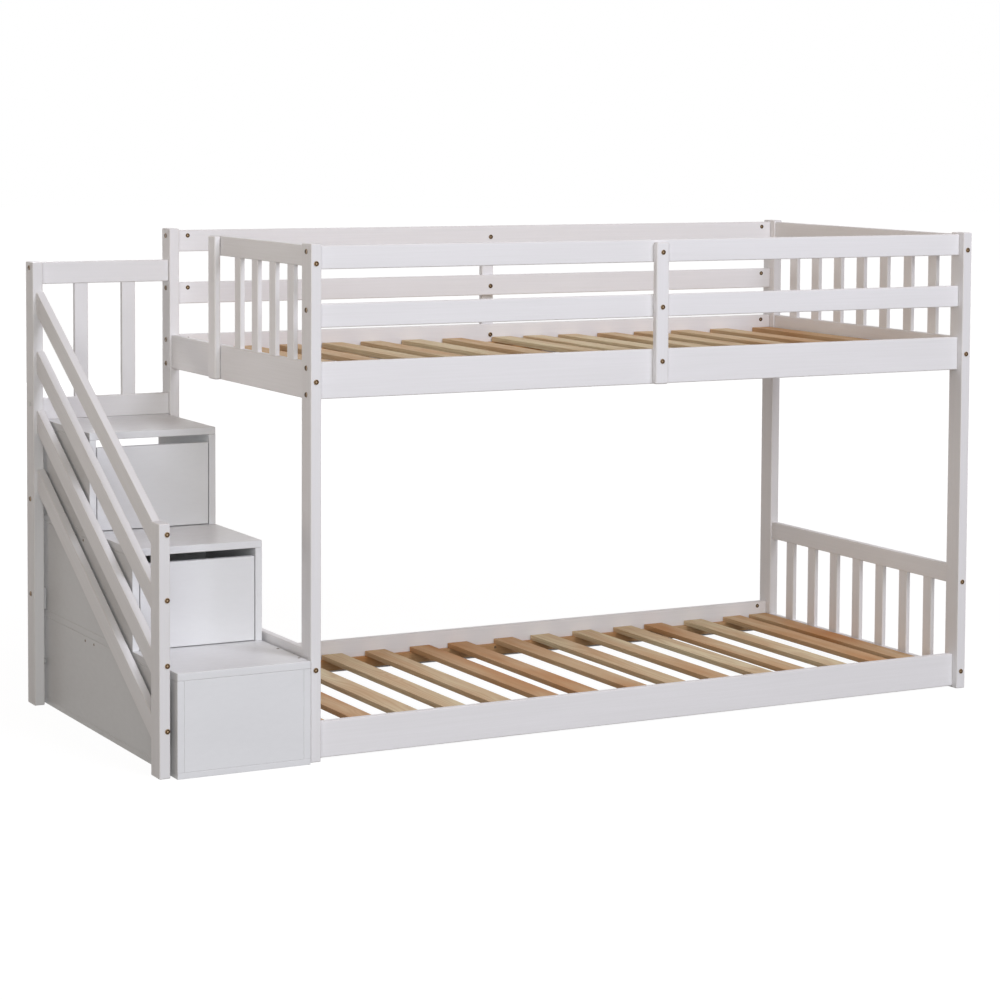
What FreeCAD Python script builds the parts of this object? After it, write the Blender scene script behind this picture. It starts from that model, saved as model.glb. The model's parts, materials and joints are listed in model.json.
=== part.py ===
import FreeCAD, Part
import math
import os

# Low two-storey bunk bed with a drawer staircase at its left end.
# Millimetres, +X along the bed, +Y towards its back, +Z up.
# The origin lies on the floor under the middle of the whole outline.

# Bed frame, measured over the four posts
bed_length = 1980.0
bed_depth = 1005.0
bed_height = 1267.0

# Sawn stock of the frame
post_width = 28.0
post_depth = 57.0
rail_thickness = 18.0
guard_rail_height = 58.0
side_rail_height = 90.0
end_rail_height = 51.0

# Heights of the rails
top_rail_drop = 5.0
guard_gap = 84.0
lower_rail_lift = 5.0
lower_panel_height = 341.0
lower_left_rail_base = 183.0

# Upright slats of the end panels and the battens that stiffen the guards
upright_width = 38.0
upright_thickness = 13.0
mortise_depth = 10.0
end_upright_count = 7
guard_upright_count = 4
guard_upright_first_gap = 68.0
guard_upright_pitch = 113.5
gate_front = 591.0
gate_width = 46.0
batten_top_drop = 6.0

# Slatted bases
slat_count = 15
slat_width = 63.0
slat_thickness = 14.0
slat_drop = 37.0
slat_end_gap = 2.0
slat_first_gap = 32.0
slat_last_gap = 1.0
cleat_width = 20.0
cleat_height = 30.0
lower_slat_shift_shares = (0, 0, 0, 0.05, 0.08, 0.16, 0.09, 0.24, 0.17, 0.25, 0.32, 0.14, 0.21, 0.28, 0)
upper_slat_shift_shares = (0, 0, 0, 0.05, -0.04, -0.06, -0.07, 0.15, -0.06, -0.17, -0.16, -0.2, -0.21, -0.16, 0)

# Staircase outline
stair_span = 388.0
stair_back_inset = 12.0
stair_front_inset = 4.0
rear_post_drop = 83.0
front_post_height = 611.0
guard_top_drop = 1.0
stair_upright_count = 2

# Slanted handrails between the two stair posts
handrail_count = 4
handrail_cut = 61.0
handrail_thickness = 21.0
handrail_inset = 10.0
handrail_pitch = 157.0
handrail_front_drop = 12.0
handrail_rear_drop = 78.0

# Steps: equal rises up to a top tread below the upper bunk
step_count = 3
top_step_drop = 124.5
step_overhang = 15.0
middle_front_share = 0.4935
tread_thickness = 19.0
panel_thickness = 18.0
base_thickness = 15.0
box_post_gap = 10.0
box_bed_gap = 6.0
spacer_width = 16.0
spacer_setback = 2.0
bottom_spacer_share = 0.3
top_spacer_share = 0.75
rear_spacer_share = 0.45

# Drawers under the middle and the top step
drawer_depth = 330.0
drawer_gap = 2.5
drawer_lift = 2.0
hand_gap = 20.0
drawer_side_gap = 1.5
drawer_side_thickness = 12.0
drawer_side_drop = 59.5
drawer_rear_gap = 24.5
drawer_bottom_thickness = 6.0
groove_rise = 8.0
groove_depth = 5.0
runner_width = 14.0
runner_height = 16.0
partition_gap = 6.0

# Connector bolts and barrel nuts
bolt_width = 6.0
bolt_head_width = 12.0
bolt_head_height = 2.0
bore_clearance = 0.5
nut_width = 11.0
nut_length = 14.0
nut_clearance = 0.3
nut_setback = 32.0
batten_bolt_bite = 12.0
bolt_sides = 6
head_sides = 8
nut_sides = 8
guard_bolt_share = 0.75
side_bolt_shares = (0.13, 0.85)
end_bolt_share = 0.49
panel_top_bolt_share = 0.16
panel_bottom_bolt_share = 0.84
batten_bolt_share = 0.45
batten_side_bolt_share = 0.66
half_share = 0.5
handrail_front_bolt_share = 0.77
handrail_rear_bolt_share = 0.5

# Every cut runs this far past the face it opens
cut_overrun = 1.0

# Outline of the whole part, heads of the bolts included
overall_length = stair_span + bed_length + 2 * bolt_head_height
overall_depth = step_overhang + bed_depth + bolt_head_height
stair_x = bolt_head_height - overall_length / 2
bed_x0 = stair_x + stair_span
bed_x1 = bed_x0 + bed_length
step_y = -overall_depth / 2
bed_y0 = step_y + step_overhang
bed_y1 = bed_y0 + bed_depth

# Planes of the bed's rails: each rail is centred on its post
rail_inset_y = (post_depth - rail_thickness) / 2
rail_inset_x = (post_width - rail_thickness) / 2
front_rail_y = (bed_y0 + rail_inset_y, bed_y0 + rail_inset_y + rail_thickness)
back_rail_y = (bed_y1 - rail_inset_y - rail_thickness, bed_y1 - rail_inset_y)
left_rail_x = (bed_x0 + rail_inset_x, bed_x0 + rail_inset_x + rail_thickness)
right_rail_x = (bed_x1 - rail_inset_x - rail_thickness, bed_x1 - rail_inset_x)
between_posts_x = (bed_x0 + post_width, bed_x1 - post_width)
between_posts_y = (bed_y0 + post_depth, bed_y1 - post_depth)

# Levels of the bed's rails
guard_top = bed_height - top_rail_drop
top_rail_z = (guard_top - guard_rail_height, guard_top)
mid_rail_z = (top_rail_z[0] - guard_gap - guard_rail_height, top_rail_z[0] - guard_gap)
upper_side_z = (mid_rail_z[0] - guard_gap - side_rail_height, mid_rail_z[0] - guard_gap)
lower_side_z = (lower_rail_lift, lower_rail_lift + side_rail_height)
end_top_z = (guard_top - end_rail_height, guard_top)
lower_panel_z = (lower_panel_height - end_rail_height, lower_panel_height)
lower_panel_base_z = (lower_rail_lift, lower_rail_lift + end_rail_height)
lower_left_z = (lower_left_rail_base, lower_left_rail_base + side_rail_height)

# Planes and levels of the staircase
rear_post_height = bed_height - rear_post_drop
handrail_low = front_post_height - handrail_front_drop
handrail_rise = rear_post_height - handrail_rear_drop - handrail_low
stair_post_x = (stair_x, stair_x + post_width)
rear_post_y = (bed_y1 - stair_back_inset - post_depth, bed_y1 - stair_back_inset)
front_post_y = (bed_y0 + stair_front_inset, bed_y0 + stair_front_inset + post_depth)
stair_rail_x = (stair_post_x[1], bed_x0)
stair_rail_y = (rear_post_y[0] + rail_inset_y, rear_post_y[0] + rail_inset_y + rail_thickness)
handrail_x = (stair_x + handrail_inset, stair_x + handrail_inset + handrail_thickness)
stair_guard_z = (rear_post_height - guard_top_drop - guard_rail_height, rear_post_height - guard_top_drop)
box_x = (stair_post_x[1] + box_post_gap, bed_x0 - box_bed_gap)
inside_x = (box_x[0] + panel_thickness, box_x[1] - panel_thickness)
top_front = stair_rail_y[0] - drawer_rear_gap - drawer_depth
step_fronts = (step_y, step_y + middle_front_share * (top_front - step_y), top_front)
step_rise = (upper_side_z[0] - top_step_drop) / step_count
tread_tops = tuple(step_rise * (step + 1) for step in range(step_count))

X_AXIS = FreeCAD.Vector(1, 0, 0)
Y_AXIS = FreeCAD.Vector(0, 1, 0)
Z_AXIS = FreeCAD.Vector(0, 0, 1)

solids = {}
openings = {}


def board(x_span, y_span, z_span):
    """A squared board between three pairs of planes."""
    corner = FreeCAD.Vector(x_span[0], y_span[0], z_span[0])
    return Part.makeBox(x_span[1] - x_span[0], y_span[1] - y_span[0], z_span[1] - z_span[0], corner)


def add(node, *shapes):
    """Put separate solids into a named piece."""
    solids.setdefault(node, []).extend(shapes)


def cut_from(node, tool):
    """Note a hole, groove or mortise for a piece."""
    openings.setdefault(node, []).append(tool)


def prism(sides, width, start, direction, length):
    """A rod of a few flat sides, `width` across its flats, from a point along a direction."""
    across = X_AXIS if abs(direction.dot(Z_AXIS)) > half_share else Z_AXIS
    beside = direction.cross(across)
    turn = math.pi / sides
    radius = width / (2 * math.cos(turn))
    angles = [turn * (2 * corner + 1) for corner in range(sides)]
    points = [start + across * (radius * math.cos(a)) + beside * (radius * math.sin(a)) for a in angles]
    face = Part.Face(Part.makePolygon(points + points[:1]))
    return face.extrude(direction * length)


def level(z_span, share):
    """A height that is a share of the way up a rail."""
    return z_span[0] + share * (z_span[1] - z_span[0])


def middle(span):
    """The middle of a span."""
    return (span[0] + span[1]) / 2


def bolt(group, start, direction, length):
    """A connector bolt whose head lies on the face at `start`."""
    head = prism(head_sides, bolt_head_width, start - direction * bolt_head_height, direction, bolt_head_height)
    shank = prism(bolt_sides, bolt_width, start, direction, length)
    add(group, head.fuse(shank).removeSplitter())


def bolted_end(post, post_size, rail, rail_face, nut_side, start, direction):
    """A bolt through a post into the end of a rail, with a barrel nut across the rail.

    `rail_face` is how far the rail's face lies from the bolt, on the side that `nut_side` points to.
    """
    bore = bolt_width + bore_clearance
    bolt("rail_bolts", start, direction, post_size + nut_setback)
    opened = start - direction * cut_overrun
    cut_from(post, prism(bolt_sides, bore, opened, direction, post_size + 2 * cut_overrun))
    rail_end = start + direction * (post_size - cut_overrun)
    cut_from(rail, prism(bolt_sides, bore, rail_end, direction, nut_setback + cut_overrun))
    nut_end = start + direction * (post_size + nut_setback) + nut_side * rail_face
    nut = prism(nut_sides, nut_width, nut_end, nut_side * -1, nut_length)
    socket = prism(bolt_sides, bore, start, direction, post_size + nut_setback)
    add("barrel_nuts", nut.cut(socket))
    seat = nut_end + nut_side * cut_overrun
    cut_from(rail, prism(nut_sides, nut_width + nut_clearance, seat, nut_side * -1, nut_length + cut_overrun))


def batten_bolt(near, thickness, far, start, direction):
    """A short bolt through one of a crossed batten and rail, and into the face of the other."""
    bore = bolt_width + bore_clearance
    bolt("batten_bolts", start, direction, thickness + batten_bolt_bite)
    opened = start - direction * cut_overrun
    cut_from(near, prism(bolt_sides, bore, opened, direction, thickness + 2 * cut_overrun))
    far_face = start + direction * (thickness - cut_overrun)
    cut_from(far, prism(bolt_sides, bore, far_face, direction, batten_bolt_bite + 2 * cut_overrun))


def uprights(node, lower_rail, upper_rail, x_spans, y_spans, z_span):
    """Upright slats between two rails, let into a mortise in each."""
    z_housed = (z_span[0] - mortise_depth, z_span[1] + mortise_depth)
    for x_span in x_spans:
        for y_span in y_spans:
            slat = board(x_span, y_span, z_housed)
            add(node, slat)
            cut_from(lower_rail, slat)
            cut_from(upper_rail, slat)


def even_spans(span, count, width):
    """Spans of one width, with equal gaps between them and at both ends."""
    gap = (span[1] - span[0] - count * width) / (count + 1)
    starts = [span[0] + gap + place * (width + gap) for place in range(count)]
    return [(start, start + width) for start in starts]


def bed_posts():
    """Four posts, set broad side to the ends."""
    for end, x0 in (("left", bed_x0), ("right", bed_x1 - post_width)):
        for side, y0 in (("front", bed_y0), ("back", bed_y1 - post_depth)):
            add(f"post_{side}_{end}", board((x0, x0 + post_width), (y0, y0 + post_depth), (0, bed_height)))


def long_rails():
    """Rails along both sides of both bunks, bolted through the posts along the bed."""
    levels = (("upper_{}_top_rail", top_rail_z, (guard_bolt_share,)),
              ("upper_{}_mid_rail", mid_rail_z, (guard_bolt_share,)),
              ("upper_{}_side_rail", upper_side_z, side_bolt_shares),
              ("lower_{}_side_rail", lower_side_z, side_bolt_shares))
    sides = (("front", front_rail_y, Y_AXIS), ("back", back_rail_y, Y_AXIS * -1))
    ends = (("left", bed_x0, X_AXIS), ("right", bed_x1, X_AXIS * -1))
    for side, y_span, inward in sides:
        for pattern, z_span, shares in levels:
            rail = pattern.format(side)
            add(rail, board(between_posts_x, y_span, z_span))
            for end, x, along in ends:
                for share in shares:
                    start = FreeCAD.Vector(x, middle(y_span), level(z_span, share))
                    bolted_end(f"post_{side}_{end}", post_width, rail, rail_thickness / 2, inward, start, along)


def end_bolts(rail, x_span, z, end, posts):
    """Bolts through the posts into both ends of a rail across the bed, or into one of them.

    The nuts open inside the bed on the left and outside it on the right.
    """
    places = {"front": (bed_y0, Y_AXIS), "back": (bed_y1, Y_AXIS * -1)}
    for side in posts:
        y, along = places[side]
        start = FreeCAD.Vector(middle(x_span), y, z)
        bolted_end(f"post_{side}_{end}", post_depth, rail, rail_thickness / 2, X_AXIS, start, along)


def slat_x(x_span):
    """The span of an upright slat centred in a rail."""
    return (middle(x_span) - upright_thickness / 2, middle(x_span) + upright_thickness / 2)


def right_ends():
    """Slatted end panels of both bunks on the right."""
    spans = even_spans(between_posts_y, end_upright_count, upright_width)
    panels = (("right_end", end_top_z, upper_side_z, end_bolt_share),
              ("lower_end", lower_panel_z, lower_panel_base_z, panel_bottom_bolt_share))
    for panel, top_z, bottom_z, bottom_share in panels:
        top, bottom, slats = f"{panel}_top_rail", f"{panel}_bottom_rail", f"{panel}_slats"
        add(top, board(right_rail_x, between_posts_y, top_z))
        add(bottom, board(right_rail_x, between_posts_y, bottom_z))
        uprights(slats, bottom, top, [slat_x(right_rail_x)], spans, (bottom_z[1], top_z[0]))
        end_bolts(top, right_rail_x, level(top_z, panel_top_bolt_share), "right", ("front", "back"))
        end_bolts(bottom, right_rail_x, level(bottom_z, bottom_share), "right", ("front", "back"))


def left_end():
    """End rails on the left, the short guard and the batten beside the way in from the stairs."""
    add("left_end_rail", board(left_rail_x, between_posts_y, upper_side_z))
    end_bolts("left_end_rail", left_rail_x, level(upper_side_z, end_bolt_share), "left", ("front", "back"))
    add("lower_left_end_rail", board(left_rail_x, between_posts_y, lower_left_z))
    end_bolts("lower_left_end_rail", left_rail_x, level(lower_left_z, end_bolt_share), "left", ("front", "back"))
    gate_y = (bed_y0 + gate_front, bed_y0 + gate_front + gate_width)
    add("left_guard_top_rail", board(left_rail_x, (between_posts_y[0], gate_y[1]), end_top_z))
    end_bolts("left_guard_top_rail", left_rail_x, level(end_top_z, panel_top_bolt_share), "left", ("front",))
    first = between_posts_y[0] + guard_upright_first_gap
    fronts = [first + place * guard_upright_pitch for place in range(guard_upright_count)]
    spans = [(front, front + upright_width) for front in fronts]
    z_span = (upper_side_z[1], end_top_z[0])
    uprights("left_guard_slats", "left_end_rail", "left_guard_top_rail", [slat_x(left_rail_x)], spans, z_span)
    gate_x = (left_rail_x[0] - rail_thickness, left_rail_x[0])
    add("gate_batten", board(gate_x, gate_y, (upper_side_z[0], guard_top)))
    for rail, z_span, shares in (("left_guard_top_rail", end_top_z, (half_share,)),
                                 ("left_end_rail", upper_side_z, side_bolt_shares)):
        for share in shares:
            start = FreeCAD.Vector(left_rail_x[1], middle(gate_y), level(z_span, share))
            batten_bolt(rail, rail_thickness, "gate_batten", start, X_AXIS * -1)


def guard_battens():
    """A batten half way along each long guard, on its outer face and flush with the posts.

    The front batten is bolted from the outside, the back one through the rails from the inside.
    """
    x = middle((bed_x0, bed_x1))
    x_span = (x - upright_width / 2, x + upright_width / 2)
    z_span = (upper_side_z[0], guard_top - batten_top_drop)
    add("front_batten", board(x_span, (bed_y0, front_rail_y[0]), z_span))
    add("back_batten", board(x_span, (back_rail_y[1], bed_y1), z_span))
    for rail, rail_z, share in (("top", top_rail_z, batten_bolt_share), ("mid", mid_rail_z, batten_bolt_share),
                                ("side", upper_side_z, batten_side_bolt_share)):
        z = level(rail_z, share)
        outside = FreeCAD.Vector(x, bed_y0, z)
        batten_bolt("front_batten", rail_inset_y, f"upper_front_{rail}_rail", outside, Y_AXIS)
        inside = FreeCAD.Vector(x, back_rail_y[0], z)
        batten_bolt(f"upper_back_{rail}_rail", rail_thickness, "back_batten", inside, Y_AXIS)


def slatted_base(bunk, side_z, shift_shares):
    """Loose boards across a bunk, carried by a cleat along the inner face of each side rail."""
    slat_top = side_z[1] - slat_drop
    cleat_top = slat_top - slat_thickness
    cleat_x = (between_posts_x[0] + slat_end_gap, between_posts_x[1] - slat_end_gap)
    cleat_z = (cleat_top - cleat_height, cleat_top)
    add(f"{bunk}_cleats", board(cleat_x, (front_rail_y[1], front_rail_y[1] + cleat_width), cleat_z),
        board(cleat_x, (back_rail_y[0] - cleat_width, back_rail_y[0]), cleat_z))
    slat_y = (front_rail_y[1] + slat_end_gap, back_rail_y[0] - slat_end_gap)
    first = between_posts_x[0] + slat_first_gap
    pitch = (between_posts_x[1] - slat_last_gap - slat_width - first) / (slat_count - 1)
    for place in range(slat_count):
        x0 = first + (place + shift_shares[place]) * pitch
        add(f"{bunk}_slats", board((x0, x0 + slat_width), slat_y, (cleat_top, slat_top)))


def stair_frame():
    """The two outer stair posts, the rails that tie the rear one to the bed, and the guard at the back."""
    add("stair_rear_post", board(stair_post_x, rear_post_y, (0, rear_post_height)))
    add("stair_front_post", board(stair_post_x, front_post_y, (0, front_post_height)))
    tie_levels = [("stair_guard_top_rail", stair_guard_z)]
    for node, top in zip(("lower_tie_rail", "middle_tie_rail", "stair_guard_bottom_rail"), tread_tops):
        tie_levels.append((node, (top, top + guard_rail_height)))
    for node, z_span in tie_levels:
        add(node, board(stair_rail_x, stair_rail_y, z_span))
        z = level(z_span, guard_bolt_share)
        outer = FreeCAD.Vector(stair_x, middle(stair_rail_y), z)
        bolted_end("stair_rear_post", post_width, node, rail_thickness / 2, Y_AXIS, outer, X_AXIS)
        inner = FreeCAD.Vector(bed_x0 + post_width, middle(stair_rail_y), z)
        bolted_end("post_back_left", post_width, node, rail_thickness / 2, Y_AXIS, inner, X_AXIS * -1)
    spans = even_spans(stair_rail_x, stair_upright_count, upright_width)
    slat_y = (middle(stair_rail_y) - upright_thickness / 2, middle(stair_rail_y) + upright_thickness / 2)
    z_span = (tread_tops[2] + guard_rail_height, stair_guard_z[0])
    uprights("stair_guard_slats", "stair_guard_bottom_rail", "stair_guard_top_rail", spans, [slat_y], z_span)


def handrails():
    """Slanted rails, cut upright at both ends and bolted between the stair posts."""
    near, far = front_post_y[1], rear_post_y[0]
    for place in range(handrail_count):
        low = handrail_low - place * handrail_pitch
        high = low + handrail_rise
        outline = ((near, low - handrail_cut), (far, high - handrail_cut), (far, high), (near, low))
        points = [FreeCAD.Vector(handrail_x[0], y, z) for y, z in outline]
        rail = Part.Face(Part.makePolygon(points + points[:1])).extrude(X_AXIS * handrail_thickness)
        add("handrails", rail)
        front_z = level((low - handrail_cut, low), handrail_front_bolt_share)
        start = FreeCAD.Vector(middle(handrail_x), front_post_y[0], front_z)
        bolted_end("stair_front_post", post_depth, "handrails", handrail_thickness / 2, X_AXIS, start, Y_AXIS)
        rear_z = level((high - handrail_cut, high), handrail_rear_bolt_share)
        start = FreeCAD.Vector(middle(handrail_x), rear_post_y[1], rear_z)
        bolted_end("stair_rear_post", post_depth, "handrails", handrail_thickness / 2, X_AXIS, start, Y_AXIS * -1)


def step_boxes():
    """Three stacked step boxes: a closed bottom step, and two open ones for drawers, notched for the tie rails."""
    rear = stair_rail_y[1]
    tread_names = ("bottom_tread", "middle_tread", "top_tread")
    side_names = ("bottom_step_sides", "middle_step_sides", "top_step_sides")
    side_x = ((box_x[0], inside_x[0]), (inside_x[1], box_x[1]))
    floors = (base_thickness, tread_tops[0], tread_tops[1])
    for tread, sides, front, floor, top in zip(tread_names, side_names, step_fronts, floors, tread_tops):
        under = top - tread_thickness
        add(tread, board(box_x, (front, rear), (under, top)))
        for x_span in side_x:
            add(sides, board(x_span, (front, rear), (floor, under)))
        if floor in tread_tops:
            cut_from(sides, board(stair_rail_x, stair_rail_y, (floor, floor + guard_rail_height)))
    add("bottom_step_base", board(box_x, (step_y, rear), (0, base_thickness)))
    bottom_z = (base_thickness, tread_tops[0] - tread_thickness)
    add("bottom_step_front", board(inside_x, (step_y, step_y + panel_thickness), bottom_z))
    partition_front = step_fronts[1] + drawer_depth + partition_gap
    partition_y = (partition_front, partition_front + panel_thickness)
    add("middle_step_partition", board(inside_x, partition_y, (tread_tops[0], tread_tops[1] - tread_thickness)))


def post_spacers():
    """Spacers that hold the stair posts off the outer side of the boxes."""
    bottom_z = (base_thickness, tread_tops[0] - tread_thickness)
    top_z = (tread_tops[1], tread_tops[2] - tread_thickness)
    rear_y = stair_rail_y[1] - spacer_setback - spacer_width / 2
    front_y = front_post_y[1] - spacer_setback - spacer_width / 2
    places = ((front_y, level(bottom_z, bottom_spacer_share)), (front_y, level(bottom_z, top_spacer_share)),
              (rear_y, level(bottom_z, rear_spacer_share)), (rear_y, level(top_z, rear_spacer_share)))
    for y, z in places:
        start = FreeCAD.Vector(stair_post_x[1], y, z)
        add("post_spacers", prism(nut_sides, spacer_width, start, X_AXIS, box_post_gap))


def drawer(name, front, floor, under):
    """A drawer that runs on two strips in its step box, with a hand gap over its front."""
    front_x = (inside_x[0] + drawer_gap, inside_x[1] - drawer_gap)
    front_y = (front, front + panel_thickness)
    front_z = (floor + drawer_lift, under - hand_gap)
    side_z = (floor + runner_height, front_z[1] - drawer_side_drop)
    rear = front + drawer_depth
    outer_x = (inside_x[0] + drawer_side_gap, inside_x[1] - drawer_side_gap)
    inner_x = (outer_x[0] + drawer_side_thickness, outer_x[1] - drawer_side_thickness)
    bottom_z = (side_z[0] + groove_rise, side_z[0] + groove_rise + drawer_bottom_thickness)
    add(f"{name}_front", board(front_x, front_y, front_z))
    for x_span in ((outer_x[0], inner_x[0]), (inner_x[1], outer_x[1])):
        add(f"{name}_sides", board(x_span, (front_y[1], rear), side_z))
    back_y = (rear - drawer_side_thickness, rear)
    add(f"{name}_back", board(inner_x, back_y, (bottom_z[1], side_z[1])))
    housed_x = (inner_x[0] - groove_depth, inner_x[1] + groove_depth)
    bottom = board(housed_x, (front_y[1] - groove_depth, rear), bottom_z)
    add(f"{name}_bottom", bottom)
    cut_from(f"{name}_sides", bottom)
    cut_from(f"{name}_front", bottom)
    runner_y = (front_y[1], rear)
    runner_z = (floor, floor + runner_height)
    for x_span in ((inside_x[0], inside_x[0] + runner_width), (inside_x[1] - runner_width, inside_x[1])):
        add("drawer_runners", board(x_span, runner_y, runner_z))


def finished(node):
    """The solids of a piece with its holes, grooves and mortises cut."""
    shapes = solids[node]
    tools = openings.get(node)
    if tools:
        shapes = [shape.cut(tools) for shape in shapes]
    pieces = [piece for shape in shapes for piece in shape.Solids]
    return pieces[0] if len(pieces) == 1 else Part.makeCompound(pieces)


bed_posts()
long_rails()
right_ends()
left_end()
guard_battens()
slatted_base("upper", upper_side_z, upper_slat_shift_shares)
slatted_base("lower", lower_side_z, lower_slat_shift_shares)
stair_frame()
handrails()
step_boxes()
post_spacers()
drawer("middle_drawer", step_fronts[1], tread_tops[0], tread_tops[1] - tread_thickness)
drawer("upper_drawer", step_fronts[2], tread_tops[1], tread_tops[2] - tread_thickness)

os.makedirs("parts", exist_ok=True)
for name in solids:
    finished(name).exportStep(f"parts/{name}.step")
print(len(solids), "pieces written")
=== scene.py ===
"""Looks of a white painted bunk bed with a drawer staircase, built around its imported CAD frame."""

import json
import logging
import math
import random
from dataclasses import dataclass
from enum import Enum
from functools import partial
from typing import Any, Iterable, Mapping, Sequence

import bmesh
import bpy
from mathutils import Matrix, Vector


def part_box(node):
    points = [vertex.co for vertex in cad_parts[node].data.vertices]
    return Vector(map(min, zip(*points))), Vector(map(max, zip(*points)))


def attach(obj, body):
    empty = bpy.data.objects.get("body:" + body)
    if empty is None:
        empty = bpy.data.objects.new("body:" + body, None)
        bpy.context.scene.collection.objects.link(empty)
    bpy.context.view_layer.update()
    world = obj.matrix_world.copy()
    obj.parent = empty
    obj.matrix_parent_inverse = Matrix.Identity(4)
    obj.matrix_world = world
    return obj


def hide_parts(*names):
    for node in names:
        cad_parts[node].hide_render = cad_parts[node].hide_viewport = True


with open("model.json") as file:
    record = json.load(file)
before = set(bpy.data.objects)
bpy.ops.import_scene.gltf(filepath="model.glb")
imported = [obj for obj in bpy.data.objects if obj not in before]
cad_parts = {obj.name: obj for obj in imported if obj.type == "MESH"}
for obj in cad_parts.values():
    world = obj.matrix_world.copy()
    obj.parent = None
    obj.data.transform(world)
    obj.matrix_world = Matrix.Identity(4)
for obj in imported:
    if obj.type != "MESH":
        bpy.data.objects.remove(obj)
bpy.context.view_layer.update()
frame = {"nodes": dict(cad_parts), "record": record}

MM = 0.001
LOG = logging.getLogger("bunk_bed")
Colour = tuple[float, float, float, float]
# Corners nearer than this are one corner.
MERGE_DISTANCE = 0.01 * MM
# Decimal places of a metre that compare places to a tenth and a hundredth of a millimetre.
TENTH_MM, HUNDREDTH_MM = 4, 5
# The values that a noise pattern mostly stays between.
NOISE_RANGE = {"From Min": 0.3, "From Max": 0.7}


class Axis(Enum):
    """A direction of the bed: along it, across it, or up."""

    X = 0
    Y = 1
    Z = 2

    @property
    def vector(self) -> Vector:
        """The direction as a unit vector."""
        return Vector([1.0 if self.value == place else 0.0 for place in range(3)])


class Slot(Enum):
    """The record's material slots."""

    TIMBER = "white_timber"
    BOARD = "white_board"
    PINE = "natural_pine"
    BRONZE = "bronze_hardware"
    NYLON = "white_nylon"


def linear(code: str) -> Colour:
    """Turn an sRGB hex colour to linear.

    Args:
        code: The colour, such as #E7E5E6.

    Returns:
        The linear colour with full alpha.
    """
    shares = [int(code[place:place + 2], 16) / 255 for place in (1, 3, 5)]
    red, green, blue = (s / 12.92 if s <= 0.04045 else ((s + 0.055) / 1.055) ** 2.4 for s in shares)
    return red, green, blue, 1.0


def add_node(tree: bpy.types.NodeTree, kind: str, inputs: Mapping[str | int, Any],
             **settings: Any) -> bpy.types.Node:
    """Add a shader node with its settings and links.

    Args:
        tree: The node tree.
        kind: Blender's name for the node's type, after ShaderNode.
        inputs: For each named or numbered socket, a value, an output, or a node for its first output.
        settings: Properties of the node.

    Returns:
        The new node.
    """
    made = tree.nodes.new(f"ShaderNode{kind}")
    for name, value in settings.items():
        setattr(made, name, value)
    for socket, value in inputs.items():
        if isinstance(value, bpy.types.Node):
            value = value.outputs[0]
        if isinstance(value, bpy.types.NodeSocket):
            tree.links.new(value, made.inputs[socket])
        else:
            made.inputs[socket].default_value = value
    return made


def stretched(length: float, width: float) -> tuple[float, float, float]:
    """The scale of a pattern of a real length along the grain and width across it."""
    return 1 / length, 1 / width, 1 / width


def blank_material(name: str) -> bpy.types.Material:
    """Make a material with an empty node tree.

    Args:
        name: The material's name.

    Returns:
        The material.
    """
    made = bpy.data.materials.new(name)
    made.use_nodes = True
    made.node_tree.nodes.clear()
    return made


@dataclass(frozen=True)
class PaintFinish:
    """Sprayed satin white paint, greyed by a board's tone as painted shade: the wood below still shows
    through it.
    """

    name: str
    pale: str
    shade: str
    worn: str
    # The colour that a board's tone greys the paint towards: painted shade.
    grey: str
    fibre_length: float
    fibre_width: float
    cloud_length: float
    cloud_width: float
    fibre_share: float
    knot_spacing: float
    knot_radius: float
    knot_share: float
    edge_share: float
    relief: float
    smooth: float
    rough: float

    def material(self) -> bpy.types.Material:
        """Build the paint's nodes.

        Returns:
            The material.
        """
        made = blank_material(self.name)
        add = partial(add_node, made.node_tree)
        grain, worn, tone = (
            add("Attribute", {}, attribute_name=name).outputs[kind]
            for name, kind in (("grain", "Vector"), ("edge", "Fac"), ("tone", "Fac")))
        fine = add("Mapping", {"Vector": grain, "Scale": stretched(self.fibre_length, self.fibre_width)})
        fibre = add("TexNoise", {"Vector": fine, "Scale": 1.0, "Detail": 3.0, "Roughness": 0.6})
        broad = add("Mapping", {"Vector": grain, "Scale": stretched(self.cloud_length, self.cloud_width)})
        cloud = add("TexNoise", {"Vector": broad, "Scale": 1.0, "Detail": 2.0, "Roughness": 0.5})
        streak = add("MapRange", {"Value": fibre, **NOISE_RANGE, "To Min": 0.0, "To Max": self.fibre_share})
        patch = add("MapRange", {
            "Value": cloud, **NOISE_RANGE, "To Min": 0.0, "To Max": 1 - self.fibre_share})
        mottle = add("Math", {0: streak, 1: patch}, operation="ADD", use_clamp=True)
        spread = add("Mapping", {
            "Vector": grain, "Scale": stretched(self.knot_spacing, self.knot_spacing / 2)})
        knots = add("TexVoronoi", {"Vector": spread, "Scale": 1.0, "Randomness": 1.0})
        bleed = add("MapRange", {
            "Value": knots, "From Min": 0.0, "From Max": 2 * self.knot_radius / self.knot_spacing,
            "To Min": self.knot_share, "To Max": 0.0}, interpolation_type="SMOOTHSTEP")
        rubbed = add("Math", {0: worn, 1: fibre}, operation="MULTIPLY")
        thin = add("Math", {0: rubbed, 1: self.edge_share}, operation="MULTIPLY")
        # A board's tone mixes in the grey as painted shade; knots and rubbed edges take the worn colour.
        coat: Any = linear(self.pale)
        for share, over in ((mottle, self.shade), (tone, self.grey), (bleed, self.worn), (thin, self.worn)):
            coat = add("Mix", {0: share, 6: coat, 7: linear(over)}, data_type="RGBA").outputs[2]
        sheen = add("MapRange", {
            "Value": fibre, **NOISE_RANGE, "To Min": self.smooth, "To Max": self.rough})
        bump = add("Bump", {"Strength": 0.6, "Distance": self.relief, "Height": fibre})
        shader = add("BsdfPrincipled", {
            "Base Color": coat, "Roughness": sheen, "IOR": 1.48, "Specular IOR Level": 0.4, "Normal": bump})
        add("OutputMaterial", {"Surface": shader})
        return made


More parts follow.
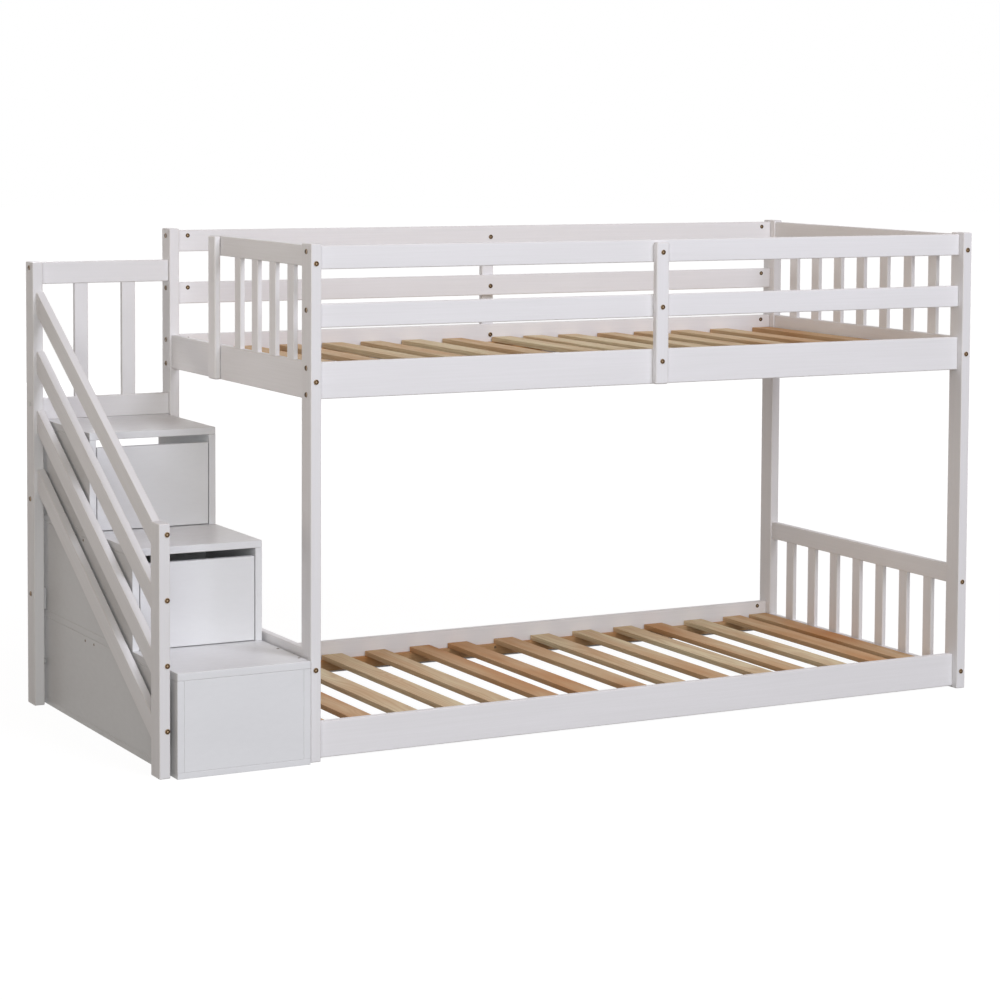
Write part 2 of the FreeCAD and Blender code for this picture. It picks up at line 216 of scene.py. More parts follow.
@dataclass(frozen=True)
class PlanedPine:
    """Knotty pine, planed and left bare: straw to orange boards with growth rings and knots."""

    name: str = "planed_knotty_pine"
    straw: str = "#E2D3AF"
    orange: str = "#B97B3F"
    late_wood: str = "#B58A60"
    knot: str = "#8E5A30"
    sawn: str = "#B4946C"
    # Real rings are 2 to 4 mm apart; they are drawn at 6 mm to show in the render.
    ring_width: float = 6 * MM
    # Late wood darkens a ring from here to its edge, 0.5, up to this share.
    late_from: float = 0.12
    late_share: float = 0.34
    # Real fibres are much finer; they are drawn this wide to show in the render.
    fibre_length: float = 90 * MM
    fibre_width: float = 1.6 * MM
    # A dark fibre shows between these values of the pattern, up to this share.
    fibre_range: tuple[float, float] = (0.5, 0.75)
    fibre_share: float = 0.25
    wander_length: float = 420 * MM
    wander_width: float = 70 * MM
    wander: float = 16 * MM
    # How far the colour of one board runs from straw to orange along it.
    patch_share: float = 1.5
    # The middle of a board of tone 0 is this far from straw.
    straw_share: float = 0.05
    knot_length: float = 420 * MM
    knot_width: float = 110 * MM
    # Shares of the way between knots: the dark heart, the knot, and the wood that bends round it.
    heart_size: float = 0.033
    knot_size: float = 0.06
    swell_size: float = 0.21
    knot_share: float = 0.85
    sawn_share: float = 0.7
    smooth: float = 0.58
    rough: float = 0.75
    relief: float = 0.25 * MM

    def material(self) -> bpy.types.Material:
        """Build the wood's nodes: rings round the pith, fibres along the board, knots and sawn ends.

        Returns:
            The material.
        """
        made = blank_material(self.name)
        add = partial(add_node, made.node_tree)
        grain, tone, sawn = (
            add("Attribute", {}, attribute_name=name).outputs[kind]
            for name, kind in (("grain", "Vector"), ("tone", "Fac"), ("sawn", "Fac")))
        drift = add("Mapping", {"Vector": grain, "Scale": stretched(self.wander_length, self.wander_width)})
        sway = add("TexNoise", {"Vector": drift, "Scale": 1.0, "Detail": 2.0, "Roughness": 0.45})
        # Knots go right through a board, so they don't vary with its thickness.
        spread = add("Mapping", {
            "Vector": grain, "Scale": (1 / self.knot_length, 1 / self.knot_width, 0.0)})
        knots = add("TexVoronoi", {"Vector": spread, "Scale": 1.0, "Randomness": 1.0})
        bulge = add("MapRange", {
            "Value": knots, "From Min": 0.0, "From Max": self.swell_size,
            "To Min": self.wander, "To Max": 0.0}, interpolation_type="SMOOTHSTEP")
        split = add("SeparateXYZ", {"Vector": grain})
        section = add("CombineXYZ", {"X": 0.0, "Y": split.outputs["Y"], "Z": split.outputs["Z"]})
        radius = add("VectorMath", {0: section}, operation="LENGTH")
        swayed = add("Math", {
            0: sway, 1: 2 * self.wander, 2: radius.outputs["Value"]}, operation="MULTIPLY_ADD")
        pushed = add("Math", {0: swayed, 1: bulge}, operation="ADD")
        count = add("Math", {0: pushed, 1: self.ring_width}, operation="DIVIDE")
        phase = add("Math", {0: count}, operation="FRACT")
        ring = add("Math", {0: phase, 1: 0.5}, operation="PINGPONG")
        late = add("MapRange", {
            "Value": ring, "From Min": self.late_from, "From Max": 0.5,
            "To Min": 0.0, "To Max": self.late_share}, interpolation_type="SMOOTHSTEP")
        thread = add("Mapping", {"Vector": grain, "Scale": stretched(self.fibre_length, self.fibre_width)})
        fibre = add("TexNoise", {"Vector": thread, "Scale": 1.0, "Detail": 3.0, "Roughness": 0.65})
        hue = add("Math", {0: sway, 1: self.patch_share, 2: tone}, operation="MULTIPLY_ADD")
        middle = self.patch_share / 2
        early = add("MapRange", {
            "Value": hue, "From Min": middle - self.straw_share, "From Max": middle + 1.0,
            "To Min": 0.0, "To Max": 1.0})
        line = add("MapRange", {
            "Value": fibre, "From Min": self.fibre_range[0], "From Max": self.fibre_range[1],
            "To Min": 0.0, "To Max": self.fibre_share})
        heart = add("MapRange", {
            "Value": knots, "From Min": self.heart_size, "From Max": self.knot_size,
            "To Min": self.knot_share, "To Max": 0.0}, interpolation_type="SMOOTHSTEP")
        cut = add("Math", {0: sawn, 1: self.sawn_share}, operation="MULTIPLY")
        wood: Any = linear(self.straw)
        for share, over in ((early, self.orange), (late, self.late_wood), (line, self.late_wood),
                            (heart, self.knot), (cut, self.sawn)):
            wood = add("Mix", {0: share, 6: wood, 7: linear(over)}, data_type="RGBA").outputs[2]
        dull = add("MapRange", {"Value": fibre, **NOISE_RANGE, "To Min": self.smooth, "To Max": self.rough})
        bump = add("Bump", {"Strength": 0.5, "Distance": self.relief, "Height": fibre})
        shader = add("BsdfPrincipled", {
            "Base Color": wood, "Roughness": dull, "IOR": 1.5, "Specular IOR Level": 0.3, "Normal": bump})
        add("OutputMaterial", {"Surface": shader})
        return made


@dataclass(frozen=True)
class AntiqueBronze:
    """Bronze plated steel, tumbled, so that its rims are rubbed bright; the floors of its sockets get the
    same bright colour as a painted highlight.
    """

    name: str = "antique_bronze_plating"
    dark: str = "#35281E"
    brown: str = "#5C4733"
    rubbed_bright_and_highlight: str = "#A58D70"
    tarnish: float = 2.2 * MM
    smooth: float = 0.32
    rough: float = 0.5

    def material(self) -> bpy.types.Material:
        """Build the plating's nodes.

        Returns:
            The material.
        """
        made = blank_material(self.name)
        add = partial(add_node, made.node_tree)
        place = add("TexCoord", {}).outputs["Object"]
        worn = add("Attribute", {}, attribute_name="edge").outputs["Fac"]
        stain = add("TexNoise", {
            "Vector": place, "Scale": 1 / self.tarnish, "Detail": 2.0, "Roughness": 0.6})
        body = add("Mix", {0: stain, 6: linear(self.dark), 7: linear(self.brown)}, data_type="RGBA")
        # Rubbed rims and the painted highlight on the socket floors take the bright colour.
        rim = add("Mix", {0: worn, 6: body.outputs[2], 7: linear(self.rubbed_bright_and_highlight)}, data_type="RGBA")
        sheen = add("MapRange", {
            "Value": stain, **NOISE_RANGE, "To Min": self.smooth, "To Max": self.rough})
        shader = add("BsdfPrincipled", {"Base Color": rim.outputs[2], "Metallic": 1.0, "Roughness": sheen})
        add("OutputMaterial", {"Surface": shader})
        return made


@dataclass(frozen=True)
class MouldedNylon:
    """White nylon with the fine spark texture of its mould."""

    name: str = "moulded_white_nylon"
    white: str = "#E0E0DE"
    grey: str = "#D2D2D0"
    # Real pits are 0.1 to 0.2 mm across; they are drawn coarser to show in the render.
    spark: float = 1.2 * MM
    relief: float = 0.1 * MM

    def material(self) -> bpy.types.Material:
        """Build the nylon's nodes.

        Returns:
            The material.
        """
        made = blank_material(self.name)
        add = partial(add_node, made.node_tree)
        place = add("TexCoord", {}).outputs["Object"]
        pits = add("TexNoise", {"Vector": place, "Scale": 1 / self.spark, "Detail": 2.0, "Roughness": 0.6})
        dye = add("Mix", {0: pits, 6: linear(self.white), 7: linear(self.grey)}, data_type="RGBA")
        bump = add("Bump", {"Strength": 0.4, "Distance": self.relief, "Height": pits})
        shader = add("BsdfPrincipled", {
            "Base Color": dye.outputs[2], "Roughness": 0.55, "IOR": 1.53, "Normal": bump})
        add("OutputMaterial", {"Surface": shader})
        return made


# Solid pine: grain and knots show faintly. Real lines of grain are 2 to 4 mm wide, drawn at 5 mm to show.
PAINTED_PINE = PaintFinish(
    name="satin_white_on_pine", pale="#EAE8E9", shade="#E4E2E2", worn="#D4CDC7", grey="#C8C5C3",
    fibre_length=220 * MM, fibre_width=5 * MM, cloud_length=600 * MM, cloud_width=90 * MM,
    fibre_share=0.5, knot_spacing=420 * MM, knot_radius=9 * MM, knot_share=0.25, edge_share=0.5,
    relief=0.15 * MM, smooth=0.36, rough=0.5)
# Pressed fibreboard: smoother, with a short soft mottle.
PAINTED_BOARD = PaintFinish(
    name="satin_white_on_fibreboard", pale="#E5E5E6", shade="#E0E0E1", worn="#CFCDCA", grey="#C2C1C0",
    fibre_length=26 * MM, fibre_width=11 * MM, cloud_length=230 * MM, cloud_width=140 * MM,
    fibre_share=0.35, knot_spacing=900 * MM, knot_radius=5 * MM, knot_share=0.1, edge_share=0.5,
    relief=0.08 * MM, smooth=0.3, rough=0.42)


class Finishes:
    """The materials of the bed, one for each slot of the record."""

    def __init__(self) -> None:
        """Make every material once."""
        self.by_slot: dict[Slot, bpy.types.Material] = {
            Slot.TIMBER: PAINTED_PINE.material(),
            Slot.BOARD: PAINTED_BOARD.material(),
            Slot.PINE: PlanedPine().material(),
            Slot.BRONZE: AntiqueBronze().material(),
            Slot.NYLON: MouldedNylon().material(),
        }


class Frame:
    """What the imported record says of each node: its slot, its body and its solids."""

    def __init__(self) -> None:
        """Read the record's lists."""
        record = frame["record"]
        self.slots = {row["node"]: Slot(row["material_slot"]) for row in record["subparts"]}
        bodies = record["behaviour"]["bodies"]
        self.bodies = {node: body for body, nodes in bodies.items() for node in nodes}

    def solids(self, node: str) -> list[list[Vector]]:
        """Read the corners of each solid of a node from a merged copy of its mesh.

        Args:
            node: The node's name.

        Returns:
            One list of corners for each solid, in order along the bed, across it and up.
        """
        copy = bmesh.new()
        copy.from_mesh(frame["nodes"][node].data)
        bmesh.ops.remove_doubles(copy, verts=copy.verts, dist=MERGE_DISTANCE)
        seen: set[bmesh.types.BMVert] = set()
        found = []
        for vert in copy.verts:
            if vert not in seen:
                linked = joined(vert)
                seen.update(linked)
                found.append([other.co.copy() for other in linked])
        copy.free()
        return sorted(found, key=lambda corners: tuple(round(x, TENTH_MM) for x in span(corners)[0]))


def joined(start: bmesh.types.BMVert) -> list[bmesh.types.BMVert]:
    """Gather all the vertices that edges join to one.

    Args:
        start: Any vertex of the solid.

    Returns:
        The vertices of the solid.
    """
    found, waiting, order = {start}, [start], [start]
    while waiting:
        vert = waiting.pop()
        for edge in vert.link_edges:
            other = edge.other_vert(vert)
            if other not in found:
                found.add(other)
                order.append(other)
                waiting.append(other)
    return order


def span(points: Sequence[Vector]) -> tuple[Vector, Vector]:
    """The lowest and the highest corner of the box that a set of points fills."""
    low, high = ([pick(places) for places in zip(*points)] for pick in (min, max))
    return Vector(low), Vector(high)


@dataclass(frozen=True)
class Stick:
    """A board as a maker sees it: its middle, and its length, width and thickness as vectors."""

    centre: Vector
    length: Vector
    width: Vector
    thickness: Vector

    @classmethod
    def from_box(cls, low: Vector, high: Vector, along: Axis | None = None) -> "Stick":
        """Lay a board in a box, with its grain along the longest side or a chosen one.

        Args:
            low: The box's lowest corner.
            high: The box's highest corner.
            along: The direction of the grain, if it isn't the longest.

        Returns:
            The board.
        """
        size = high - low
        order = sorted(Axis, key=lambda axis: -size[axis.value])
        if along is not None:
            order = [along] + [axis for axis in order if axis is not along]
        sides = [axis.vector * size[axis.value] for axis in order]
        return cls((low + high) / 2, *sides)

    def matrix(self) -> Matrix:
        """The transform that turns a unit cube to this board."""
        columns = Matrix((self.length, self.width, self.thickness)).transposed().to_4x4()
        return Matrix.Translation(self.centre) @ columns


@dataclass(frozen=True)
class Head:
    """The sizes of a round head with a rounded rim, and of its hexagon socket and shank if it has them."""

    radius: float
    rim: float
    # Half the width across the socket's flats, and how deep it is.
    socket: float = 0.0
    depth: float = 0.0
    shank: float = 0.0


class Workpiece:
    """A piece under construction, with what its finish reads: grain, tone, edges and sawn ends."""

    # Steps round the edges of a board, and round those of a panel or a head.
    BOARD_STEPS = 3
    RIM_STEPS = 2
    HEAD_SIDES = 24
    SHANK_SIDES = 10
    # A hexagon's corners are 1.155 times as far out as its flats; a socket gets a little more room.
    SOCKET_ROOM = 1.2
    # A face that looks less than this along any side of its board is an eased edge.
    SIDE_COSINE = 0.97
    # A face that looks more than this along the grain is a sawn end.
    END_COSINE = 0.9
    # Where in a log a board is cut: along it, and from its pith across and through the board.
    LOG_RANGES = ((0.0, 40.0), (-0.05, 0.05), (0.02, 0.09))

    def __init__(self, name: str, seed: int) -> None:
        """Start an empty mesh.

        Args:
            name: The piece's name.
            seed: Fixes which part of a log each board is cut from.
        """
        self.name = name
        self.shape = bmesh.new()
        self.draw = random.Random(seed)
        self.grain = self.shape.verts.layers.float_vector.new("grain")
        self.tone = self.shape.verts.layers.float.new("tone")
        self.edge = self.shape.faces.layers.float.new("edge")
        self.sawn = self.shape.faces.layers.float.new("sawn")

    def rounded(self, edges: Iterable[bmesh.types.BMEdge], radius: float, steps: int) -> dict[str, Any]:
        """Round off edges.

        Args:
            edges: The edges.
            radius: Radius of the rounding.
            steps: Steps round each edge.

        Returns:
            The new vertices and faces.
        """
        return bmesh.ops.bevel(
            self.shape, geom=list(edges), offset=radius, offset_type="OFFSET", segments=steps, profile=0.5,
            affect="EDGES", clamp_overlap=True, material=-1)

    def board(self, stick: Stick, ease: float, tone: float) -> None:
        """Add a board with eased edges.

        Args:
            stick: The board's place and sides.
            ease: Radius of the edges.
            tone: From straw, 0, to orange, 1, or from white paint to the grey of painted shade.
        """
        made = bmesh.ops.create_cube(self.shape, size=1.0, matrix=stick.matrix())
        edges = {edge for vert in made["verts"] for edge in vert.link_edges}
        eased = self.rounded(edges, ease, self.BOARD_STEPS)
        self.mark(joined(eased["verts"][0]), stick, tone)

    def panel(self, outline: Sequence[Vector], thick: Vector, stick: Stick, ease: float,
              tone: float) -> None:
        """Add a panel of any outline with eased edges.

        Args:
            outline: The corners of one face, in order.
            thick: The way to the other face.
            stick: The panel's place and sides, for its grain.
            ease: Radius of the edges.
            tone: From white paint, 0, to the grey of painted shade, 1.
        """
        face = self.shape.faces.new([self.shape.verts.new(point) for point in outline])
        far = bmesh.ops.extrude_face_region(self.shape, geom=[face])["geom"]
        moved = [item for item in far if isinstance(item, bmesh.types.BMVert)]
        bmesh.ops.translate(self.shape, verts=moved, vec=thick)
        verts = joined(moved[0])
        faces = {item for vert in verts for item in vert.link_faces}
        bmesh.ops.recalc_face_normals(self.shape, faces=list(faces))
        eased = self.rounded({edge for vert in verts for edge in vert.link_edges}, ease, self.RIM_STEPS)
        self.mark(joined(eased["verts"][0]), stick, tone)

    def mark(self, verts: Sequence[bmesh.types.BMVert], stick: Stick, tone: float) -> None:
        """Write the grain of a board, and which of its faces are edges or sawn ends.

        Args:
            verts: The board's vertices.
            stick: The board's place and sides.
            tone: From straw, 0, to orange, 1, or from white paint to the grey of painted shade.
        """
        along, thick = stick.length.normalized(), stick.thickness.normalized()
        sides = [along, thick.cross(along), thick]
        cut = Vector([self.draw.uniform(*ends) for ends in self.LOG_RANGES])
        faces = {face for vert in verts for face in vert.link_faces}
        for vert in verts:
            out = vert.co - stick.centre
            vert[self.grain] = Vector([out.dot(side) for side in sides]) + cut
            vert[self.tone] = tone
        for face in faces:
            face.normal_update()
            cosines = [abs(face.normal.dot(side)) for side in sides]
            face[self.edge] = 1.0 if max(cosines) < self.SIDE_COSINE else 0.0
            face[self.sawn] = 1.0 if cosines[0] > self.END_COSINE else 0.0
            face.smooth = True

    def head(self, place: Matrix, head: Head, height: float) -> None:
        """Add a round head with a rounded rim, and a hexagon socket if it has one.

        Args:
            place: The middle of its seat, with Z pointing out of the wood.
            head: Its sizes.
            height: How far it stands out.
        """
        up = place.to_3x3().col[2].normalized()
        seat = bmesh.ops.create_circle(
            self.shape, cap_ends=True, segments=self.HEAD_SIDES, radius=head.radius, matrix=place)
        face = seat["verts"][0].link_faces[0]
        raised = bmesh.ops.extrude_face_region(self.shape, geom=[face])["geom"]
        lid = next(item for item in raised if isinstance(item, bmesh.types.BMFace))
        bmesh.ops.translate(self.shape, verts=lid.verts, vec=up * height)
        rounded = self.rounded(lid.edges, head.rim, self.RIM_STEPS)
        verts = joined(rounded["verts"][0])
        faces = {item for vert in verts for item in vert.link_faces}
        lid = max((item for item in faces if len(item.verts) == self.HEAD_SIDES),
                  key=lambda item: item.calc_center_median().dot(up))
        for item in faces:
            item.smooth = True
        for item in rounded["faces"]:
            item[self.edge] = 1.0 if item is not lid else 0.0
        if head.socket > 0:
            margin = head.radius - head.rim - self.SOCKET_ROOM * head.socket
            bmesh.ops.inset_region(self.shape, faces=[lid], thickness=margin, depth=0.0)
            middle = lid.calc_center_median()
            flat = math.pi / 3
            for vert in lid.verts:
                out = vert.co - middle
                across = place.to_3x3().inverted() @ out
                turn = math.atan2(across.y, across.x) % flat - flat / 2
                vert.co = middle + out.normalized() * (head.socket / math.cos(turn))
            sunk = bmesh.ops.extrude_discrete_faces(self.shape, faces=[lid])["faces"]
            bmesh.ops.translate(self.shape, verts=sunk[0].verts, vec=up * -head.depth)
            # The floor of the socket is marked like a rubbed edge, so it takes the bright colour: a painted
            # highlight.
            sunk[0][self.edge] = 1.0

    def shank(self, place: Matrix, radius: float, length: float) -> None:
        """Add the round shank behind a head.

        Args:
            place: The middle of the head's seat, with Z pointing out of the wood.
            radius: Radius of the shank.
            length: How far it goes into the wood.
        """
        bmesh.ops.create_cone(
            self.shape, cap_ends=True, segments=self.SHANK_SIDES, radius1=radius, radius2=radius,
            depth=length, matrix=place @ Matrix.Translation((0, 0, -length / 2)))

    def finish(self, finishes: Finishes, slot: Slot, body: str, nodes: Sequence[str]) -> None:
        """Turn the mesh to a piece of the bed.

        Args:
            finishes: The materials.
            slot: The record's slot that the finish belongs to.
            body: The body that the piece rides on.
            nodes: The CAD nodes that it stands for.
        """
        bmesh.ops.recalc_face_normals(self.shape, faces=list(self.shape.faces))
        mesh = bpy.data.meshes.new(self.name)
        self.shape.to_mesh(mesh)
        self.shape.free()
        mesh.materials.append(finishes.by_slot[slot])
        piece = bpy.data.objects.new(self.name, mesh)
        bpy.context.scene.collection.objects.link(piece)
        shading = piece.modifiers.new("even_shading", "WEIGHTED_NORMAL")
        shading.keep_sharp = True
        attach(piece, body)
        if nodes:
            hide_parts(*nodes)
        LOG.info("%s: %d faces on %s", self.name, len(mesh.polygons), body)


@dataclass
class Assembly:
    """A part of the bed that is made of boards, with the tone of those that are given none of their own."""

    facts: Frame
    finishes: Finishes
    tone: float = 0.0

    def dress(self, node: str, ease: float, along: Axis | None = None, tones: Sequence[float] = ()) -> None:
        """Replace the boards of a node by boards with eased edges.

        Args:
            node: The CAD node.
            ease: Radius of the edges.
            along: The direction of the grain, if it isn't the longest.
            tones: The tone of each board in turn.
        """
        piece = Workpiece(f"{node}_eased", seed=sum(map(ord, node)))
        for place, corners in enumerate(self.facts.solids(node)):
            piece.board(Stick.from_box(*span(corners), along), ease, tones[place] if tones else self.tone)
        self.place(piece, node)

    def place(self, piece: Workpiece, node: str) -> None:
        """Put a piece in the place of a CAD node, on its body and in its finish."""
        self.shade(piece)
        piece.finish(self.finishes, self.facts.slots[node], self.facts.bodies[node], [node])

    def shade(self, piece: Workpiece) -> None:
        """Paint no shade: leave a piece's boards in their own tones."""


@dataclass
class BedFrame(Assembly):
    """The four posts, the long rails and the battens half way along them."""

    post_ease: float = 2.5 * MM
    rail_ease: float = 2.5 * MM
    batten_ease: float = 4.0 * MM
    # The posts' white paint is greyed a little: painted shade.
    post_painted_shade: float = 0.12
    posts: tuple[str, ...] = ("post_front_left", "post_front_right", "post_back_left", "post_back_right")
    sides: tuple[str, ...] = ("front", "back")
    battens: tuple[str, ...] = ("front_batten", "back_batten")

    def rails(self) -> list[str]:
        """The names of the eight long rails."""
        upper = [f"upper_{side}_{rail}_rail" for side in self.sides for rail in ("top", "mid", "side")]
        return upper + [f"lower_{side}_side_rail" for side in self.sides]

    def build(self) -> None:
        """Dress the posts, rails and battens."""
        for node in self.posts:
            self.dress(node, self.post_ease, tones=(self.post_painted_shade,))
        for node in self.rails():
            self.dress(node, self.rail_ease)
        for node in self.battens:
            self.dress(node, self.batten_ease)


@dataclass
class BedEnds(Assembly):
    """The slatted end panels, the end rails and the short guard beside the way in from the stairs."""

    rail_ease: float = 2.5 * MM
    upright_ease: float = 2.0 * MM
    gate_ease: float = 5.0 * MM
    rails: tuple[str, ...] = (
        "right_end_top_rail", "right_end_bottom_rail", "lower_end_top_rail", "lower_end_bottom_rail",
        "left_end_rail", "lower_left_end_rail", "left_guard_top_rail")
    uprights: tuple[str, ...] = ("right_end_slats", "lower_end_slats", "left_guard_slats")

    def build(self) -> None:
        """Dress the rails and the upright slats."""
        for node in self.rails:
            self.dress(node, self.rail_ease)
        for node in self.uprights:
            self.dress(node, self.upright_ease)
        self.dress("gate_batten", self.gate_ease)


@dataclass
class SlattedBase(Assembly):
    """The bare pine slats of one bunk and the cleats that carry them."""

    bunk: str = "lower"
    slat_ease: float = 1.6 * MM
    cleat_ease: float = 1.2 * MM
    tones: tuple[float, ...] = ()
    cleat_tones: tuple[float, ...] = (0.75, 0.7)
    # The middle screw of a row, and how far apart and which they are.
    screw_middle: float = 205 * MM
    screw_pitch: float = 310 * MM
    screw_places: tuple[int, ...] = (-3, -2, -1, 0, 1, 2, 3)
    screw_rise: float = 22 * MM
    screw: Head = Head(radius=3.8 * MM, rim=0.3 * MM, socket=1.5 * MM, depth=0.5 * MM, shank=1.9 * MM)
    screw_height: float = 0.6 * MM
    screw_length: float = 30 * MM

    def build(self) -> None:
        """Dress the slats and cleats, and screw the cleats to the side rails."""
        self.dress(f"{self.bunk}_slats", self.slat_ease, tones=self.tones)
        self.dress(f"{self.bunk}_cleats", self.cleat_ease, tones=self.cleat_tones)
        self.screws()

    def screws(self) -> None:
        """Put a row of screws in the inner face of each cleat."""
        node = f"{self.bunk}_cleats"
        piece = Workpiece(f"{self.bunk}_cleat_screws", seed=7)
        # The front cleat's inner face is on its high side, and the back one's on its low side.
        for corners, side, out in zip(self.facts.solids(node), (1, 0), (Axis.Y.vector, -Axis.Y.vector)):
            ends = span(corners)
            seat = Vector((0.0, ends[side].y, ends[0].z + self.screw_rise))
            for place in self.screw_places:
                seat.x = self.screw_middle + place * self.screw_pitch
                lie = facing(seat, out)
                piece.head(lie, self.screw, self.screw_height)
                piece.shank(lie, self.screw.shank, self.screw_length)
        piece.finish(self.finishes, Slot.BRONZE, self.facts.bodies[node], [])


def facing(seat: Vector, out: Vector) -> Matrix:
    """The place of a head from the middle of its seat and the way out of the wood, which becomes Z."""
    return Matrix.Translation(seat) @ out.to_track_quat("Z", "Y").to_matrix().to_4x4()


@dataclass
class StairFrame(Assembly):
    """The outer stair posts, the guard behind the stairs, the tie rails and the slanted handrails."""

    # The stair frame's white paint is greyed: painted shade.
    tone: float = 0.25
    post_ease: float = 2.5 * MM
    rail_ease: float = 2.5 * MM
    upright_ease: float = 2.0 * MM
    handrail_cut: float = 61 * MM
    spacer_rim: float = 0.8 * MM
    posts: tuple[str, ...] = ("stair_rear_post", "stair_front_post")
    rails: tuple[str, ...] = (
        "stair_guard_top_rail", "stair_guard_bottom_rail", "lower_tie_rail", "middle_tie_rail")

    def build(self) -> None:
        """Dress the posts, rails, guard slats, handrails and spacers."""
        for node in self.posts:
            self.dress(node, self.post_ease)
        for node in self.rails:
            self.dress(node, self.rail_ease)
        self.dress("stair_guard_slats", self.upright_ease)
        self.handrails()
        self.spacers()

    def handrails(self) -> None:
        """Lay four slanted rails whose ends are cut upright."""
        piece = Workpiece("handrails_eased", seed=31)
        for corners in self.facts.solids("handrails"):
            low, high = span(corners)
            run = Vector((0.0, high.y - low.y, high.z - low.z - self.handrail_cut))
            cut = Vector((0.0, 0.0, self.handrail_cut))
            thick = Vector((high.x - low.x, 0.0, 0.0))
            piece.board(Stick((low + high) / 2, run, cut, thick), self.rail_ease, self.tone)
        self.place(piece, "handrails")

    def spacers(self) -> None:
        """Turn the spacers between the posts and the step boxes."""
        piece = Workpiece("post_spacers_turned", seed=5)
        for corners in self.facts.solids("post_spacers"):
            low, high = span(corners)
            seat = Vector((low.x, (low.y + high.y) / 2, (low.z + high.z) / 2))
            turned = Head((high.z - low.z) / 2, self.spacer_rim)
            piece.head(facing(seat, Axis.X.vector), turned, high.x - low.x)
        self.place(piece, "post_spacers")


@dataclass
class StepBoxes(Assembly):
    """The three stacked boxes of the stairs, with the screws that show on them."""

    panel_ease: float = 1.0 * MM
    tread_ease: float = 1.8 * MM
    treads: tuple[str, ...] = ("bottom_tread", "middle_tread", "top_tread")
    panels: tuple[str, ...] = (
        "bottom_step_base", "bottom_step_front", "middle_step_partition", "bottom_step_sides")
    notched: tuple[str, ...] = ("middle_step_sides", "top_step_sides")
    # The outer face of the boxes is painted greyer than the rest, as far as its eased edges: painted shade.
    outer_painted_shade: float = 0.75
    outer_depth: float = 0.95 * MM
    screw: Head = Head(radius=3.5 * MM, rim=0.2 * MM, socket=1.5 * MM, depth=0.3 * MM, shank=1.75 * MM)
    screw_height: float = 0.4 * MM
    screw_length: float = 40 * MM
    # Places on the outer side, across the bed and up.
    side_places: tuple[tuple[float, float], ...] = (
        (143 * MM, 223 * MM), (76 * MM, 224 * MM), (155 * MM, 482 * MM))
    # Places on the bottom tread, from its right edge and its front edge.
    tread_places: tuple[tuple[float, float], ...] = ((9 * MM, 50 * MM), (9 * MM, 182 * MM))

    def build(self) -> None:
        """Dress the panels and treads, then screw them together."""
        for node in self.panels:
            self.dress(node, self.panel_ease)
        for node in self.notched:
            self.notched_sides(node)
        for node in self.treads:
            self.dress(node, self.tread_ease, Axis.X)
        self.screws()

    def shade(self, piece: Workpiece) -> None:
        """Grey the outer face of the boxes as painted shade, where the side panels and the ends of the
        treads lie flush.

        Args:
            piece: The piece under construction.
        """
        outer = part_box("bottom_step_sides")[0].x + self.outer_depth
        for vert in piece.shape.verts:
            if vert.co.x < outer:
                vert[piece.tone] = self.outer_painted_shade

    def notched_sides(self, node: str) -> None:
        """Cut the sides of a box, each with a notch at its lower rear corner for the tie rail.

        Args:
            node: The CAD node.
        """
        piece = Workpiece(f"{node}_eased", seed=sum(map(ord, node)))
        for corners in self.facts.solids(node):
            low, high = span(corners)
            inner = min((point for point in corners if low.z < point.z < high.z), key=lambda point: point.y)
            outline = ((low.y, low.z), (inner.y, low.z), (inner.y, inner.z), (high.y, inner.z),
                       (high.y, high.z), (low.y, high.z))
            face = [Vector((low.x, y, z)) for y, z in outline]
            thick = Vector((high.x - low.x, 0.0, 0.0))
            piece.panel(face, thick, Stick.from_box(low, high), self.panel_ease, self.tone)
        self.place(piece, node)

    def screws(self) -> None:
        """Drive the screws that show on the outer side of the boxes and on the bottom tread."""
        piece = Workpiece("step_box_screws", seed=4)
        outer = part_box("bottom_step_sides")[0].x
        low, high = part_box("bottom_tread")
        lies = [facing(Vector((outer, across, up)), -Axis.X.vector) for across, up in self.side_places]
        lies += [facing(Vector((high.x - inset, low.y + back, high.z)), Axis.Z.vector)
                 for inset, back in self.tread_places]
        for lie in lies:
            piece.head(lie, self.screw, self.screw_height)
            piece.shank(lie, self.screw.shank, self.screw_length)
        piece.finish(self.finishes, Slot.BRONZE, "frame", [])


@dataclass
class Drawer(Assembly):
    """One drawer of the stairs: a plain front, two sides, a back and a housed bottom."""

    name: str = "middle_drawer"
    front_ease: float = 1.5 * MM
    board_ease: float = 0.8 * MM

    def build(self) -> None:
        """Dress the drawer's boards."""
        self.dress(f"{self.name}_front", self.front_ease, Axis.X)
        for part in ("sides", "back", "bottom"):
            self.dress(f"{self.name}_{part}", self.board_ease)


@dataclass
class Runners(Assembly):
    """The pine strips that the drawers run on."""

    tone: float = 0.4
    ease: float = 1.0 * MM

    def build(self) -> None:
        """Dress the strips."""
        self.dress("drawer_runners", self.ease)


